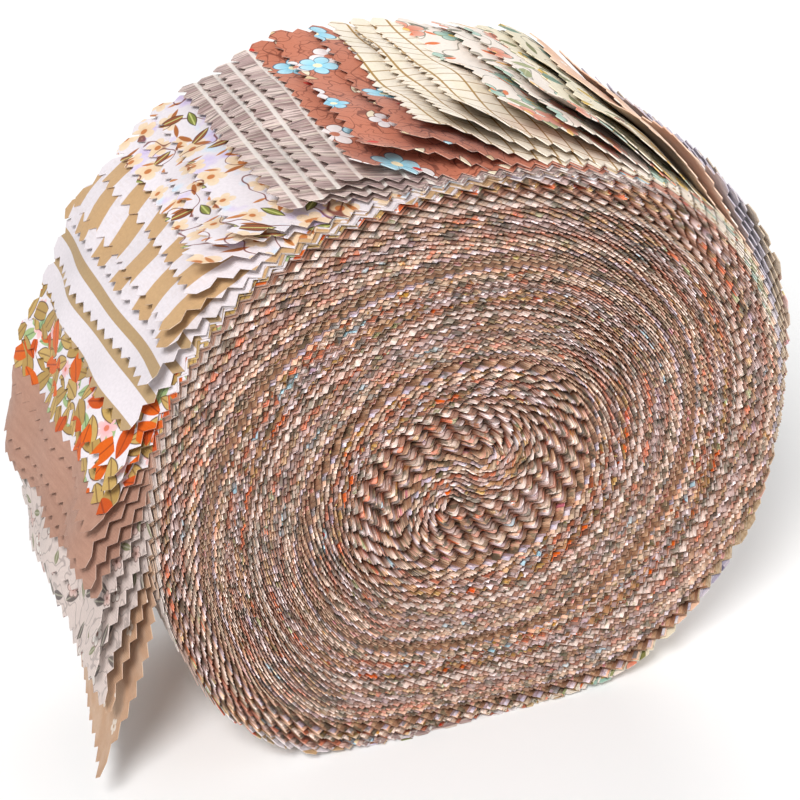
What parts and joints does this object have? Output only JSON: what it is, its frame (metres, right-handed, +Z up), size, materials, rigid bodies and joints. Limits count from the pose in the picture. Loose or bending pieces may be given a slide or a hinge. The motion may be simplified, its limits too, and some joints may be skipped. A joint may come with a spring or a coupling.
{
  "type": "rolled fabric strip bundle",
  "caption": "Rolled bundle of pinked cotton fabric strips standing on its rim, with a double spiral face, an S core and stepped, lifting strip ends that hang loose at one side.",
  "frame": {"origin": "on the flat spot the roll stands on, below the roll's middle and half way across the strips' width", "axes": "+X to the right and +Z up as the spiral face is looked at, +Y away from the viewer along the roll's own axis"},
  "size_m": [0.1598, 0.065, 0.1428],
  "materials": {
    "roll_cloth": "cut edges of mixed cotton prints, pinked",
    "tan_rose": "matt plain-weave cotton, tan with rose accents",
    "tan_weave": "matt plain-weave cotton, fine tan weave",
    "lilac_grey": "matt plain-weave cotton, lilac grey",
    "peach": "matt plain-weave cotton, peach",
    "cream_olive": "matt plain-weave cotton, cream with olive and rust",
    "cream_floral": "matt plain-weave cotton, cream with leaves and flowers",
    "yellow_plaid": "matt plain-weave cotton, pale yellow with tan lines",
    "terracotta": "matt plain-weave cotton, terracotta with small flowers",
    "taupe_grain": "matt plain-weave cotton, taupe grain with pale lines",
    "white_floral": "matt plain-weave cotton, white with tan and lilac sprigs",
    "wide_stripe": "matt plain-weave cotton, white and tan stripes",
    "thin_stripe": "matt plain-weave cotton, white with thin tan stripes",
    "orange_floral": "matt plain-weave cotton, white with orange flowers",
    "pink_tan": "matt plain-weave cotton, plain pinkish tan",
    "grey_floral": "matt plain-weave cotton, pale grey with fine leaves",
    "tan_spot": "matt plain-weave cotton, tan with pale spots"
  },
  "bodies": {
    "root": {"roll_body": "roll_cloth", "end_tan_rose": "tan_rose", "end_tan_weave": "tan_weave", "end_lilac_grey": "lilac_grey", "end_peach": "peach", "end_cream_olive": "cream_olive", "end_cream_floral": "cream_floral", "end_yellow_plaid": "yellow_plaid", "end_terracotta": "terracotta", "end_taupe_grain": "taupe_grain", "end_white_floral": "white_floral", "end_wide_stripe": "wide_stripe", "end_thin_stripe": "thin_stripe", "end_orange_floral": "orange_floral", "end_pink_tan": "pink_tan", "end_grey_floral": "grey_floral", "end_tan_spot": "tan_spot"}
  },
  "joints": []
}
